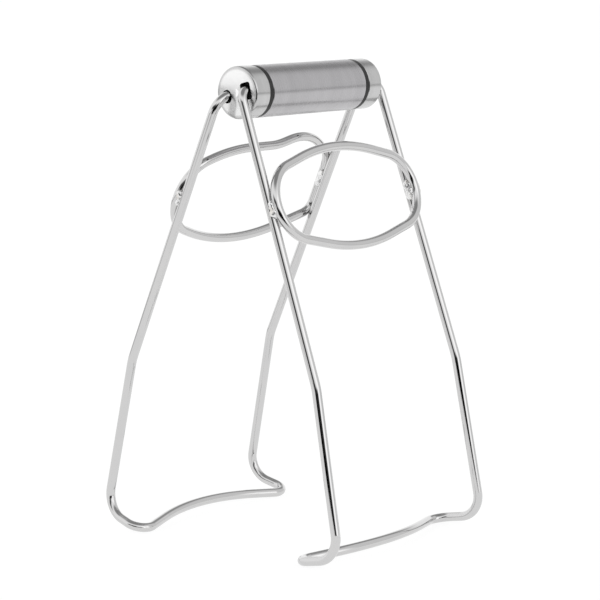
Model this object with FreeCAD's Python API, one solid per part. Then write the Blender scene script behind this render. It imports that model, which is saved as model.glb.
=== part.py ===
"""Wire jar lifter: a short tubular handle with two bent-wire leg frames hinged in its end caps.

Frame: millimetres, +Z up, +X along the handle, the front leg frame on the -Y side. The origin lies
on the floor under the middle of the whole object. Left is -X and right is +X.

Each leg frame is one wire. Its ends turn into the bores of the two hinge plugs, its legs run down to
a knee and a heel, its feet turn inward, and a shallow cradle between the toes holds the jar. A closed
finger loop is welded to the outer side of the legs. The lifter is built in its open stance.
"""
import FreeCAD, Part
import math
import os

Vector = FreeCAD.Vector

# ---- handle
HANDLE_RADIUS = 11.0
HANDLE_HALF_LENGTH = 41.65      # to the rim of each cap, below the dome of its face
SHELL_WALL = 1.0                # wall of the grip tube and of the drawn end caps
RING_MIDDLE = 31.9              # middle of each rubber ring, from the middle of the handle
RING_WIDTH = 2.2
RING_RECESS = 0.1               # the ring's rim lies this far below the polished metal
CAP_FACE_THICKNESS = 1.2
CAP_DOME_RADIUS = 80.0          # the face bulges outward a little, as a drawn cup's does
CAP_EDGE_ROUND = 0.9
RIM_CHAMFER = 0.3               # broken edges beside each rubber ring

# ---- hinges
HINGE_OFFSET = 5.1              # each hinge axis, from the handle's axis
HANDLE_ROLL = 15.0              # degrees: the handle is turned so that its front hinge is the higher one
BORE_CLEARANCE = 0.05           # radial, round each wire end
BORE_DEPTH = 11.5
PLUG_SPIGOT = 11.0              # length of a hinge plug inside the grip tube
PLUG_SETBACK = 1.05             # space between a plug and the inside of its cap's face
SLOT_INNER = 2.25               # the slot's side towards the other wire, from the hinge axis
SLOT_OUTER = 2.75               # the side that the leg swings out to
FRONT_SLOT = (3.1, 4.2, 1.1)    # reach above and below the hinge axis, and corner radius
REAR_SLOT = (2.35, 3.2, 2.2)

# ---- wire leg frames, as (across, outward, down) from the hinge axis
WIRE_RADIUS = 2.0
SHOULDER = (45.3, 0.0, 0.0)
KNEE = (47.0, 0.0, 126.4)
HEEL = (47.8, -12.4, 196.1)
TOE = (49.6, -37.4, 191.9)
CRADLE_OUTWARD = -20.4          # crown of the cradle's arc before rounding, in the middle
CRADLE_DOWN = 195.0
WIRE_END = 28.0                 # where each wire end stops inside its plug
BEND_START = 40.15              # where each wire starts to turn down into its leg
KNEE_BEND = 26.0                # centre-line bend radii
HEEL_BEND = 10.5
TOE_BEND = 6.4
CRADLE_BEND = 92.0
FRONT_SWING = 19.8              # degrees the front legs lean outward at rest
LEFT, RIGHT = -1, 1
SPREAD = {                      # the legs are bent by hand: extra spread at shoulder, knee, heel and toe
    ("front", LEFT): (0.0, 1.5, 1.0, 0.0),
    ("front", RIGHT): (1.0, 0.5, 3.0, 0.0),
    ("rear", LEFT): (2.5, 1.5, 0.5, 2.5),
    ("rear", RIGHT): (0.5, -3.5, -0.5, 0.0),
}

# ---- finger loops, as (across, down, bend radius) corners of each rounded outline
LOOP_LIFT = 2.0 * WIRE_RADIUS + 0.15    # centre line of the loop outside that of the legs
FRONT_LOOP = [(-97.5, 51.2, 16.4), (0.0, 25.0, 93.0), (96.0, 51.0, 16.4), (0.0, 74.0, 93.0)]
REAR_LOOP = [(-83.5, 48.6, 17.6), (-22.0, 28.5, 80.0), (8.0, 28.5, 30.0), (26.5, 23.5, 26.0),
             (46.8, 36.0, 10.5), (46.8, 64.2, 6.5), (-4.7, 78.0, 98.0)]
WELDS = {                       # how far down the leg, radius and length of each weld
    ("front", LEFT): (51.5, 2.0, 6.5),
    ("front", RIGHT): (50.5, 2.7, 8.6),
    ("rear", LEFT): (48.5, 1.75, 6.0),
    ("rear", RIGHT): (47.5, 2.3, 7.5),
}
WELD_END_ROUND = 0.75           # of a weld's radius

END_CAP_START = RING_MIDDLE + RING_WIDTH / 2
TUBE_HALF_LENGTH = RING_MIDDLE - RING_WIDTH / 2
BORE_RADIUS = WIRE_RADIUS + BORE_CLEARANCE
SHELL_INSIDE = HANDLE_RADIUS - SHELL_WALL
CAP_FACE_INSIDE = HANDLE_HALF_LENGTH - CAP_FACE_THICKNESS
CAP_CROWN = HANDLE_HALF_LENGTH + CAP_DOME_RADIUS - math.sqrt(CAP_DOME_RADIUS ** 2 - HANDLE_RADIUS ** 2)
PLUG_FACE = CAP_FACE_INSIDE - PLUG_SETBACK


def unit(vector):
    return Vector(vector).normalize()


def rounded_wire(corners, bends, closed=False):
    """A path of straight runs joined by tangent arcs, one arc at each corner with a bend."""
    count = len(corners)
    turning = range(count) if closed else range(1, count - 1)
    arcs = []
    for i in turning:
        before, corner, after = corners[i - 1], corners[i], corners[(i + 1) % count]
        back, onward = unit(before - corner), unit(after - corner)
        half_turn = (math.pi - back.getAngle(onward)) / 2
        reach = bends[i] * math.tan(half_turn)
        inward = unit(back + onward)
        crown = corner + inward * (bends[i] / math.cos(half_turn) - bends[i])
        arcs.append((corner + back * reach, crown, corner + onward * reach))
    edges = []
    last = arcs[-1][2] if closed else corners[0]
    for start, crown, end in arcs:
        edges.append(Part.LineSegment(last, start).toShape())
        edges.append(Part.Arc(start, crown, end).toShape())
        last = end
    if not closed:
        edges.append(Part.LineSegment(last, corners[-1]).toShape())
    return Part.Wire(edges)


def round_rod(path):
    """Round wire of the lifter's gauge along a path."""
    first = path.OrderedEdges[0]
    start = first.valueAt(first.FirstParameter)
    along = first.tangentAt(first.FirstParameter)
    section = Part.Wire(Part.makeCircle(WIRE_RADIUS, start, along))
    return path.makePipeShell([section], True, False)


class LegSide:
    """Place of one leg frame: its side of the handle, hinge axis and outward lean."""

    def __init__(self, name, swing, axis_y, axis_z):
        side = {"front": -1, "rear": 1}[name]
        self.name = name
        self.side = side
        self.swing = math.radians(swing)
        roll = math.radians(HANDLE_ROLL)
        self.hinge = Vector(0, axis_y + side * HINGE_OFFSET * math.cos(roll),
                            axis_z - side * HINGE_OFFSET * math.sin(roll))

    def at(self, across, outward, down):
        y = outward * math.cos(self.swing) + down * math.sin(self.swing)
        z = outward * math.sin(self.swing) - down * math.cos(self.swing)
        return self.hinge + Vector(across, self.side * y, z)

    def leg_corners(self, hand):
        """Shoulder, knee, heel and toe of the left or right leg."""
        corners = zip((SHOULDER, KNEE, HEEL, TOE), SPREAD[self.name, hand])
        return [(hand * (across + spread), outward, down) for (across, outward, down), spread in corners]

    def frame_path(self):
        legs = {hand: self.leg_corners(hand) for hand in (LEFT, RIGHT)}
        bends = {hand: [abs(legs[hand][0][0]) - BEND_START, KNEE_BEND, HEEL_BEND, TOE_BEND] for hand in legs}
        crown = (0, CRADLE_OUTWARD, CRADLE_DOWN)
        corners = [(-WIRE_END, 0, 0)] + legs[LEFT] + [crown] + legs[RIGHT][::-1] + [(WIRE_END, 0, 0)]
        radii = [0] + bends[LEFT] + [CRADLE_BEND] + bends[RIGHT][::-1] + [0]
        return rounded_wire([self.at(*corner) for corner in corners], radii)

    def leg_point(self, hand, down):
        """Point on a leg's centre line, between shoulder and knee."""
        shoulder, knee = self.leg_corners(hand)[:2]
        return self.at(shoulder[0] + (knee[0] - shoulder[0]) * down / knee[2], 0, down)

    def loop_path(self, outline):
        corners = [self.at(across, LOOP_LIFT, down) for across, down, bend in outline]
        return rounded_wire(corners, [bend for across, down, bend in outline], closed=True)

    def lowest(self):
        return self.frame_path().optimalBoundingBox(False, False).ZMin - WIRE_RADIUS


def swing_to_floor(name, axis_z):
    """Outward lean, in degrees, at which a leg frame's toes just reach the floor."""
    low, high = 12.0, 50.0
    for step in range(40):
        middle = (low + high) / 2
        if LegSide(name, middle, 0, axis_z).lowest() < 0:
            low = middle
        else:
            high = middle
    return high


def along_handle(start, end, radius, axis_y, axis_z):
    return Part.makeCylinder(radius, end - start, Vector(start, axis_y, axis_z), Vector(1, 0, 0))


def broken_edges(shape, places, size, rounded=False):
    """Chamfers or rounds the outer rims of a turned handle piece at the given places along X."""
    rims = []
    for edge in [edge for edge in shape.Edges if not edge.Degenerated]:
        if hasattr(edge.Curve, "Radius") and abs(edge.Curve.Radius - HANDLE_RADIUS) < 1e-6:
            if any(abs(edge.Curve.Center.x - place) < 1e-6 for place in places):
                rims.append(edge)
    return shape.makeFillet(size, rims) if rounded else shape.makeChamfer(size, rims)


def handle_tube(axis_y, axis_z):
    half = TUBE_HALF_LENGTH
    outer = along_handle(-half, half, HANDLE_RADIUS, axis_y, axis_z)
    inner = along_handle(-half, half, SHELL_INSIDE, axis_y, axis_z)
    return broken_edges(outer.cut(inner), [-half, half], RIM_CHAMFER)


def slot(front, axis_y, axis_z):
    """Opening in the right cap's face for one wire, narrow on top and with room to swing outward."""
    above, below, corner = FRONT_SLOT if front else REAR_SLOT
    inner, outer = HINGE_OFFSET - SLOT_INNER, HINGE_OFFSET + SLOT_OUTER
    low = -outer if front else inner
    block = Part.makeBox(CAP_CROWN - CAP_FACE_INSIDE, outer - inner, below + above,
                         Vector(CAP_FACE_INSIDE, low, -below))
    edges = [edge for edge in block.Edges if abs(edge.tangentAt(edge.FirstParameter).x) > 0.9]
    block = block.makeFillet(corner, edges)
    block.rotate(Vector(0, 0, 0), Vector(1, 0, 0), -HANDLE_ROLL)
    block.translate(Vector(0, axis_y, axis_z))
    return block


def mirrored(shape):
    return shape.mirror(Vector(0, 0, 0), Vector(1, 0, 0))


def right_end_cap(axis_y, axis_z):
    """Drawn cup with a polished, slightly domed face of even thickness, pierced by two slots."""
    def profile_point(x, radius):
        return Vector(x, axis_y, axis_z + radius)

    def dome(crown, radius, dome_radius):
        """Arc of the profile from the crown out to a radius."""
        middle, tilt = crown - dome_radius, math.asin(radius / dome_radius)
        points = [profile_point(middle + dome_radius * math.cos(angle), dome_radius * math.sin(angle))
                  for angle in (0, tilt / 2, tilt)]
        return Part.Arc(*points).toShape(), points[-1]

    inner_crown = CAP_CROWN - CAP_FACE_THICKNESS
    outer_face, outer_rim = dome(CAP_CROWN, HANDLE_RADIUS, CAP_DOME_RADIUS)
    inner_face, inner_rim = dome(inner_crown, SHELL_INSIDE, CAP_DOME_RADIUS - CAP_FACE_THICKNESS)
    mouth = [profile_point(END_CAP_START, radius) for radius in (HANDLE_RADIUS, SHELL_INSIDE)]
    straight = [(outer_rim, mouth[0]), (mouth[0], mouth[1]), (mouth[1], inner_rim),
                (profile_point(inner_crown, 0), profile_point(CAP_CROWN, 0))]
    edges = [outer_face, inner_face] + [Part.LineSegment(*ends).toShape() for ends in straight]
    profile = Part.Face(Part.Wire(Part.__sortEdges__(edges)))
    cup = profile.revolve(profile_point(0, 0), Vector(1, 0, 0), 360)
    cup = broken_edges(cup, [HANDLE_HALF_LENGTH], CAP_EDGE_ROUND, rounded=True)
    cup = broken_edges(cup, [END_CAP_START], RIM_CHAMFER)
    for front in (True, False):
        cup = cup.cut(slot(front, axis_y, axis_z))
    return cup


def right_rubber_ring(axis_y, axis_z):
    outer = along_handle(TUBE_HALF_LENGTH, END_CAP_START, HANDLE_RADIUS - RING_RECESS, axis_y, axis_z)
    return outer.cut(along_handle(TUBE_HALF_LENGTH, END_CAP_START, SHELL_INSIDE, axis_y, axis_z))


def right_hinge_plug(axis_y, axis_z, hinges):
    """Solid plug that joins tube and cap, with a blind bore for each wire end."""
    plug = along_handle(TUBE_HALF_LENGTH - PLUG_SPIGOT, PLUG_FACE, SHELL_INSIDE, axis_y, axis_z)
    for hinge in hinges:
        bore = along_handle(PLUG_FACE - BORE_DEPTH, PLUG_FACE, BORE_RADIUS, hinge.y, hinge.z)
        plug = plug.cut(bore)
    return plug


def weld(leg_side, hand, frame, loop, outline):
    """Round-ended bead of weld metal in the crevice between a leg and the finger loop."""
    down, radius, length = WELDS[leg_side.name, hand]
    on_leg = leg_side.leg_point(hand, down)
    gap = leg_side.loop_path(outline).distToShape(Part.Vertex(on_leg))[1][0]
    middle = (gap[0] + gap[1]) / 2
    along = unit(leg_side.leg_point(hand, down + 1) - on_leg)
    bead = Part.makeCylinder(radius, length, middle - along * (length / 2), along)
    rims = [edge for edge in bead.Edges if edge.isClosed()]
    return bead.makeFillet(WELD_END_ROUND * radius, rims).cut(frame).cut(loop)


def build():
    axis_z = -LegSide("front", FRONT_SWING, 0, 0).lowest()
    rear_swing = swing_to_floor("rear", axis_z)
    front_reach = LegSide("front", FRONT_SWING, 0, axis_z).frame_path().optimalBoundingBox(False, False).YMin
    rear_reach = LegSide("rear", rear_swing, 0, axis_z).frame_path().optimalBoundingBox(False, False).YMax
    axis_y = -(front_reach + rear_reach) / 2
    front = LegSide("front", FRONT_SWING, axis_y, axis_z)
    rear = LegSide("rear", rear_swing, axis_y, axis_z)

    nodes = {"handle_tube": handle_tube(axis_y, axis_z)}
    right_pieces = {
        "end_cap": right_end_cap(axis_y, axis_z),
        "rubber_ring": right_rubber_ring(axis_y, axis_z),
        "hinge_plug": right_hinge_plug(axis_y, axis_z, [front.hinge, rear.hinge]),
    }
    for name, piece in right_pieces.items():
        nodes["right_" + name] = piece
        nodes["left_" + name] = mirrored(piece)
    for name, leg_side, outline in (("front", front, FRONT_LOOP), ("rear", rear, REAR_LOOP)):
        frame = round_rod(leg_side.frame_path())
        loop = round_rod(leg_side.loop_path(outline))
        nodes[name + "_leg_frame"] = frame
        nodes[name + "_finger_loop"] = loop
        for word, hand in (("left", LEFT), ("right", RIGHT)):
            nodes["%s_%s_weld" % (name, word)] = weld(leg_side, hand, frame, loop, outline)

    print("handle axis at y %.3f z %.3f, rear swing %.3f" % (axis_y, axis_z, rear_swing))
    for name, leg_side in (("front", front), ("rear", rear)):
        print(name, "hinge y %.3f z %.3f" % (leg_side.hinge.y, leg_side.hinge.z))
    os.makedirs("parts", exist_ok=True)
    for name, shape in nodes.items():
        print("%-20s solids %d  volume %.1f  valid %s" % (name, len(shape.Solids), shape.Volume,
                                                          shape.isValid()))
        shape.exportStep("parts/%s.step" % name)


build()
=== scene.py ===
"""Looks of the wire jar lifter: studio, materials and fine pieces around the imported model."""
import math

import bmesh
import bpy
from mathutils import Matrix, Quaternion, Vector, noise


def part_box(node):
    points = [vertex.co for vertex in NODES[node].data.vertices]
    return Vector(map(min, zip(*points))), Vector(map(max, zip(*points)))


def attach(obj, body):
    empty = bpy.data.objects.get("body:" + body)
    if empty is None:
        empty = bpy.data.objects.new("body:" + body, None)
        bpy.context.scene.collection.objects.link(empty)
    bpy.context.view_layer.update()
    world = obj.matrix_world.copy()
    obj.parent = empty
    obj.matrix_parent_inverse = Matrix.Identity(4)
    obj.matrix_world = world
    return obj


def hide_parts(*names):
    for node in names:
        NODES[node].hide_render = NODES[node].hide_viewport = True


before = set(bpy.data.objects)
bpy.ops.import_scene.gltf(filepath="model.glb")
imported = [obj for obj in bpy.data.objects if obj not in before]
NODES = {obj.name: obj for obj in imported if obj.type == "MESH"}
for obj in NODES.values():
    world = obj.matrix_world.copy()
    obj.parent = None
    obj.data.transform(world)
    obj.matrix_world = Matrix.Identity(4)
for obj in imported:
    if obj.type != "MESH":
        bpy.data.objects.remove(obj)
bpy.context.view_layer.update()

# ---- camera, in metres and degrees
CAMERA_AIM = Vector((-0.0008, -0.00535, 0.10206))
CAMERA_AZIMUTH = -50.15
CAMERA_ELEVATION = 8.50
CAMERA_ROLL = -0.16
CAMERA_DISTANCE = 1.0231
CAMERA_LENS = 142.0             # millimetres
CAMERA_SENSOR = 36.0

# ---- studio: (name, azimuths, elevations, softness in each, brightness); each patch covers those before it
SKY_BRIGHTNESS = 1.14
STUDIO_PATCHES = [
    ("ceiling", (-200, 200), (52, 100), (14, 12), 0.32),
    ("side_wall", (22, 84), (-14, 60), (9, 9), 0.84),
    ("upper_side", (84, 150), (28, 75), (14, 8), 0.36),
    ("window", (-26, 18), (-2, 36), (7, 5), 1.50),
    ("camera_side_high", (-114, -56), (6, 25), (11, 6), 0.10),
    ("camera_side", (-86, -20), (-40, 11), (7, 5), 0.03),
]
FLOOR_RADIUS = 14.0
FLOOR_SIDES = 96
FLOOR_GLOW = 0.86
FLOOR_ALBEDO = 0.22
FLOOR_DARK_AZIMUTHS = (-86, -20)    # directions in which the floor looks dark in reflections
FLOOR_DARK_SOFT = 7
FLOOR_DARK_REACH = (0.30, 0.55)     # metres from the object
# painted pool of light seen in reflections: the floor dims to FLOOR_FADE between these distances
FLOOR_FADE_REACH = (0.9, 2.4)
FLOOR_FADE = 0.58

# ---- fine pieces, in metres
WELD_GROWTH = 0.65e-3           # how far the weld metal spreads over the wires beside it
WELD_RIPPLE = 0.55e-3
WELD_VOXEL = 0.22e-3
WELD_LUMPS = 420.0              # ripple frequency, per metre
WELD_SHIFT = 5000.0             # sets the ripple of each weld apart
WELD_SMOOTHING = 0.4
CAP_RIM = (8.9e-3, 10.4e-3)     # where a cap's polished face turns into its brushed, slightly rougher rounded rim; the tint darkens there too, as painted shade on the rounded edge
CAP_FACE_DEPTH = (1.8e-3, 0.9e-3)    # below the crown: where the polish starts and where it is full

# ---- brushed steel
BRUSH_DEPTH = 0.06              # strength of the brushing's bump
CAP_FACE_TONE = 0.86
CAP_FACE_ROUGHNESS = (0.16, 0.22)


class Tree:
    """Adds nodes to a shader tree. An input given as a socket is linked, anything else is its value."""

    def __init__(self, owner):
        owner.use_nodes = True
        self.tree = owner.node_tree
        self.tree.nodes.clear()

    def add(self, kind, inputs=(), **settings):
        node = self.tree.nodes.new(kind)
        for name, value in settings.items():
            setattr(node, name, value)
        for name, value in dict(inputs).items():
            if isinstance(value, bpy.types.NodeSocket):
                self.tree.links.new(value, node.inputs[name])
            else:
                node.inputs[name].default_value = value
        return node

    def math(self, operation, first, second=0.0):
        return self.add("ShaderNodeMath", {0: first, 1: second}, operation=operation).outputs[0]

    def ramp(self, value, low, high, from_value=0.0, to_value=1.0):
        """A smooth step of value from low to high."""
        inputs = {"Value": value, "From Min": low, "From Max": high, "To Min": from_value, "To Max": to_value}
        return self.add("ShaderNodeMapRange", inputs, interpolation_type="SMOOTHSTEP").outputs[0]

    def mix(self, factor, first, second):
        node = self.add("ShaderNodeMix", {0: factor, 6: first, 7: second}, data_type="RGBA")
        return node.outputs[2]

    def speckle(self, vector, scale, detail):
        return self.add("ShaderNodeTexNoise", {"Vector": vector, "Scale": scale, "Detail": detail}).outputs[0]

    def bump(self, height, strength, distance):
        inputs = {"Strength": strength, "Distance": distance, "Height": height}
        return self.add("ShaderNodeBump", inputs).outputs[0]

    def surface(self, inputs):
        shader = self.add("ShaderNodeBsdfPrincipled", inputs).outputs[0]
        self.add("ShaderNodeOutputMaterial", {"Surface": shader})


def new_material(name):
    """A material with its shader tree and the coordinates of the object that wears it."""
    material = bpy.data.materials.new(name)
    tree = Tree(material)
    return material, tree, tree.add("ShaderNodeTexCoord").outputs["Object"]


def grey(level):
    return (level, level, level, 1.0)


def azimuth_of(tree, axes):
    """Degrees round the vertical from the -Y direction towards +X."""
    backward = tree.math("MULTIPLY", axes["Y"], -1.0)
    return tree.math("MULTIPLY", tree.math("ARCTAN2", axes["X"], backward), 180.0 / math.pi)


def band(tree, value, low, high, soft):
    """1 between low and high, with soft edges."""
    rising = tree.ramp(value, low - soft, low + soft)
    return tree.math("MULTIPLY", rising, tree.ramp(value, high - soft, high + soft, 1.0, 0.0))


def studio_light():
    """Soft studio around the object: pale walls, a bright window and the unlit room behind the camera."""
    world = bpy.data.worlds.new("studio")
    bpy.context.scene.world = world
    tree = Tree(world)
    direction = tree.add("ShaderNodeTexCoord").outputs["Generated"]
    axes = tree.add("ShaderNodeSeparateXYZ", {0: direction}).outputs
    azimuth = azimuth_of(tree, axes)
    elevation = tree.math("MULTIPLY", tree.math("ARCSINE", axes["Z"]), 180.0 / math.pi)
    colour = grey(SKY_BRIGHTNESS)
    for name, azimuths, elevations, softness, brightness in STUDIO_PATCHES:
        inside = 1.0
        for angle, (low, high), soft in zip((azimuth, elevation), (azimuths, elevations), softness):
            inside = tree.math("MULTIPLY", inside, band(tree, angle, low, high, soft))
        colour = tree.mix(inside, colour, grey(brightness))
    lit = tree.add("ShaderNodeBackground", {"Color": colour, "Strength": 1.0}).outputs[0]
    plain = tree.add("ShaderNodeBackground", {"Color": grey(1.0), "Strength": 1.0}).outputs[0]
    seen = tree.add("ShaderNodeLightPath").outputs["Is Camera Ray"]
    shown = tree.add("ShaderNodeMixShader", {0: seen, 1: lit, 2: plain}).outputs[0]
    tree.add("ShaderNodeOutputWorld", {"Surface": shown})


def floor():
    """Pale floor, large enough to fill every view: evenly white to the camera; in reflections and in the
    light it gives, it carries painted light and shade, a pool that fades further out and a dark sector on the
    camera side.
    """
    mesh = bpy.data.meshes.new("floor")
    shape = bmesh.new()
    bmesh.ops.create_circle(shape, cap_ends=True, radius=FLOOR_RADIUS, segments=FLOOR_SIDES)
    shape.to_mesh(mesh)
    shape.free()
    made = bpy.data.objects.new("floor", mesh)
    bpy.context.scene.collection.objects.link(made)
    material, tree, place = new_material("floor_paper")
    axes = tree.add("ShaderNodeSeparateXYZ", {0: place}).outputs
    reach = tree.add("ShaderNodeVectorMath", {0: place}, operation="LENGTH").outputs["Value"]
    # painted shade and light: a dark sector on the camera side and a pool that fades further out, shown only
    # in reflections and in the floor's light
    dark = tree.math("MULTIPLY", band(tree, azimuth_of(tree, axes), *FLOOR_DARK_AZIMUTHS, FLOOR_DARK_SOFT),
                     tree.ramp(reach, *FLOOR_DARK_REACH))
    lit = tree.math("MULTIPLY", tree.math("SUBTRACT", 1.0, dark),
                    tree.ramp(reach, *FLOOR_FADE_REACH, 1.0, FLOOR_FADE))
    seen = tree.add("ShaderNodeLightPath").outputs["Is Camera Ray"]
    level = tree.math("MAXIMUM", lit, seen)
    grain = tree.speckle(place, 900.0, 3.0)
    bump = tree.bump(grain, 0.05, 0.0001)
    inputs = {"Base Color": tree.mix(level, grey(0.0), grey(FLOOR_ALBEDO)), "Roughness": 0.9,
              "Specular IOR Level": 0.0, "Normal": bump, "Emission Color": grey(1.0),
              "Emission Strength": tree.math("MULTIPLY", level, FLOOR_GLOW)}
    tree.surface(inputs)
    mesh.materials.append(material)


def camera():
    azimuth, elevation = math.radians(CAMERA_AZIMUTH), math.radians(CAMERA_ELEVATION)
    back = Vector((math.sin(azimuth) * math.cos(elevation), -math.cos(azimuth) * math.cos(elevation),
                   math.sin(elevation)))
    data = bpy.data.cameras.new("camera")
    data.lens = CAMERA_LENS
    data.sensor_width = CAMERA_SENSOR
    data.clip_start, data.clip_end = 0.01, 100.0
    made = bpy.data.objects.new("camera", data)
    made.location = CAMERA_AIM + back * CAMERA_DISTANCE
    look = (-back).to_track_quat("-Z", "Y")
    roll_axis = look @ Vector((0, 0, 1))
    made.rotation_mode = "QUATERNION"
    made.rotation_quaternion = Quaternion(roll_axis, math.radians(CAMERA_ROLL)) @ look
    bpy.context.scene.collection.objects.link(made)
    bpy.context.scene.camera = made


def polished_wire():
    """Drawn stainless wire, buffed bright: faint draw lines, tiny pits and a slightly uneven polish."""
    material, tree, place = new_material("polished_wire")
    cloudy = tree.speckle(place, 90.0, 4.0)
    fine = tree.speckle(place, 2600.0, 3.0)
    stretched = tree.add("ShaderNodeMapping", {"Vector": place, "Scale": (900.0, 900.0, 40.0)}).outputs[0]
    lines = tree.speckle(stretched, 1.0, 2.0)
    roughness = tree.ramp(cloudy, 0.3, 0.75, 0.05, 0.11)
    tint = tree.mix(cloudy, (0.585, 0.585, 0.59, 1), (0.635, 0.63, 0.625, 1))
    height = tree.math("ADD", tree.math("MULTIPLY", fine, 0.4), lines)
    bump = tree.bump(height, 0.05, 0.00004)
    inputs = {"Base Color": tint, "Metallic": 1.0, "Roughness": roughness, "Normal": bump}
    tree.surface(inputs)
    return material


def cap_face_polish_and_rim_shade(tree, place):
    """1 on a cap's polished end face, falling to 0 where its rounded rim starts; it sets the polish and also
    paints shade on the rim by darkening the tint there.
    """
    low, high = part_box("right_end_cap")
    centre = (0.0, (low[1] + high[1]) / 2, (low[2] + high[2]) / 2)
    middle = tree.add("ShaderNodeVectorMath", {0: place, 1: centre}, operation="SUBTRACT").outputs[0]
    axes = tree.add("ShaderNodeSeparateXYZ", {0: middle}).outputs
    starts, full = (high[0] - depth for depth in CAP_FACE_DEPTH)
    outward = tree.ramp(tree.math("ABSOLUTE", axes["X"]), starts, full)
    flat = tree.add("ShaderNodeCombineXYZ", {1: axes["Y"], 2: axes["Z"]}).outputs[0]
    radius = tree.add("ShaderNodeVectorMath", {0: flat}, operation="LENGTH").outputs["Value"]
    return tree.math("MULTIPLY", outward, tree.ramp(radius, *CAP_RIM, 1.0, 0.0))


def brushed_steel(name, level, roughness_range, polished_face_and_rim_shade=False, hue=(1.0, 1.0, 1.0)):
    """Steel brushed round the handle's axis: very fine rings, soft broad bands and slight wear."""
    material, tree, place = new_material(name)
    rings = tree.add("ShaderNodeMapping", {"Vector": place, "Scale": (9000.0, 60.0, 60.0)}).outputs[0]
    grain = tree.speckle(rings, 1.0, 4.0)
    broad = tree.add("ShaderNodeMapping", {"Vector": place, "Scale": (260.0, 30.0, 30.0)}).outputs[0]
    bands = tree.speckle(broad, 1.0, 3.0)
    worn = tree.speckle(place, 420.0, 5.0)
    low, high = roughness_range
    roughness = tree.ramp(grain, 0.25, 0.75, low, high)
    shade = tree.math("ADD", tree.math("MULTIPLY", grain, 0.35), tree.math("MULTIPLY", bands, 0.65))
    darker, lighter = ([level * factor * part for part in hue] + [1.0] for factor in (0.96, 1.03))
    tint = tree.mix(tree.ramp(shade, 0.35, 0.65), darker, lighter)
    tint = tree.mix(tree.ramp(worn, 0.62, 0.78, 0.0, 0.35), tint, grey(level * 1.12))
    depth = BRUSH_DEPTH
    if polished_face_and_rim_shade:
        face = cap_face_polish_and_rim_shade(tree, place)
        smooth = tree.ramp(worn, 0.3, 0.8, *CAP_FACE_ROUGHNESS)
        roughness = tree.math("ADD", tree.math("MULTIPLY", roughness, tree.math("SUBTRACT", 1.0, face)),
                              tree.math("MULTIPLY", smooth, face))
        # painted shade: the tint falls from the bright face tone to the darker brushed tone over the rounded
        # rim
        tint = tree.mix(face, tint, grey(CAP_FACE_TONE))
        depth = tree.math("MULTIPLY", tree.math("SUBTRACT", 1.0, face), BRUSH_DEPTH)
    bump = tree.bump(grain, depth, 0.00003)
    tangent = tree.add("ShaderNodeTangent", direction_type="RADIAL", axis="X").outputs[0]
    inputs = {"Base Color": tint, "Metallic": 1.0, "Roughness": roughness, "Anisotropic": 0.75,
              "Anisotropic Rotation": 0.25, "Normal": bump, "Tangent": tangent}
    tree.surface(inputs)
    return material


def weld_metal():
    """Rough fused metal: bright rounded lumps, dark pits and a straw tint where it was hottest."""
    material, tree, place = new_material("weld_metal")
    lumps = tree.speckle(place, 700.0, 5.0)
    pits = tree.add("ShaderNodeTexVoronoi", {"Vector": place, "Scale": 800.0}).outputs["Distance"]
    heat = tree.speckle(place, 220.0, 2.0)
    tint = tree.mix(tree.ramp(heat, 0.5, 0.8), (0.80, 0.80, 0.80, 1), (0.68, 0.64, 0.58, 1))
    tint = tree.mix(tree.ramp(pits, 0.02, 0.16, 0.6, 0.0), tint, grey(0.24))
    roughness = tree.ramp(lumps, 0.3, 0.7, 0.16, 0.42)
    height = tree.math("ADD", lumps, tree.math("MULTIPLY", tree.ramp(pits, 0.0, 0.35), 0.8))
    bump = tree.bump(height, 0.4, 0.00012)
    inputs = {"Base Color": tint, "Metallic": 1.0, "Roughness": roughness, "Normal": bump}
    tree.surface(inputs)
    return material


def black_rubber(name, roughness):
    """Satin black moulding with a fine grain and a trace of dust."""
    material, tree, place = new_material(name)
    grain = tree.speckle(place, 3000.0, 3.0)
    dust = tree.speckle(place, 240.0, 4.0)
    tint = tree.mix(tree.ramp(dust, 0.45, 0.8), grey(0.012), grey(0.035))
    rough = tree.ramp(dust, 0.3, 0.7, roughness - 0.06, roughness + 0.08)
    bump = tree.bump(grain, 0.3, 0.00003)
    inputs = {"Base Color": tint, "Roughness": rough, "Normal": bump, "Specular IOR Level": 0.35}
    tree.surface(inputs)
    return material


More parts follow.
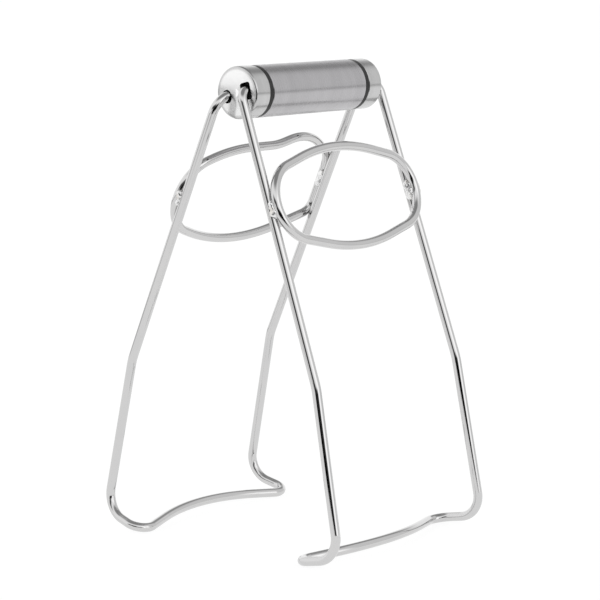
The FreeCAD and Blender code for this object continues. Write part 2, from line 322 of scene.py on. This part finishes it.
def finish_cad_nodes():
    """Gives each carried-over CAD node its material."""
    wire = polished_wire()
    grip = brushed_steel("brushed_grip", 0.47, (0.22, 0.30), hue=(1.0, 0.985, 1.01))
    cap = brushed_steel("brushed_cap", 0.56, (0.16, 0.25), polished_face_and_rim_shade=True)
    finishes = {
        "handle_tube": (grip, "grip_steel"),
        "end_cap": (cap, "cap_steel"),
        "rubber_ring": (black_rubber("ring_rubber", 0.42), "ring_rubber"),
        "hinge_plug": (black_rubber("plug_nylon", 0.50), "plug_plastic"),
        "leg_frame": (wire, "wire_steel"),
        "finger_loop": (wire, "wire_steel"),
        "weld": (weld_metal(), "weld_steel"),
    }
    for name, node in NODES.items():
        material, slot = next(look for ending, look in finishes.items() if name.endswith(ending))
        node.data.materials.clear()
        node.data.materials.append(material)


def rough_weld(name):
    """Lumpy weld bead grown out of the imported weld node, which it replaces."""
    node = NODES[name]
    shape = bmesh.new()
    shape.from_mesh(node.data)
    bmesh.ops.remove_doubles(shape, verts=shape.verts, dist=1e-6)
    mesh = bpy.data.meshes.new(name + "_bead")
    shape.to_mesh(mesh)
    shape.free()
    piece = bpy.data.objects.new(name + "_bead", mesh)
    bpy.context.scene.collection.objects.link(piece)
    remesh = piece.modifiers.new("even", "REMESH")
    remesh.mode = "VOXEL"
    remesh.voxel_size = WELD_VOXEL
    evaluated = piece.evaluated_get(bpy.context.evaluated_depsgraph_get())
    even = bpy.data.meshes.new_from_object(evaluated)
    piece.modifiers.clear()
    piece.data = even
    shape = bmesh.new()
    shape.from_mesh(even)
    shape.normal_update()
    start = sum((vertex.co for vertex in shape.verts), Vector()) / len(shape.verts)
    moves = {}
    for vertex in shape.verts:
        ripple = noise.fractal(vertex.co * WELD_LUMPS + start * WELD_SHIFT, 0.8, 2.0, 3)
        moves[vertex] = vertex.normal * (WELD_GROWTH + WELD_RIPPLE * ripple)
    for vertex, move in moves.items():
        vertex.co += move
    bmesh.ops.smooth_vert(shape, verts=shape.verts, factor=WELD_SMOOTHING, use_axis_x=True, use_axis_y=True,
                          use_axis_z=True)
    shape.to_mesh(even)
    shape.free()
    for face in even.polygons:
        face.use_smooth = True
    even.materials.clear()
    even.materials.append(node.data.materials[0])
    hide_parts(name)
    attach(piece, name.split("_")[0] + "_frame")


bpy.context.scene.view_settings.view_transform = "Standard"
studio_light()
floor()
camera()
finish_cad_nodes()
for weld_name in [name for name in NODES if name.endswith("_weld")]:
    rough_weld(weld_name)
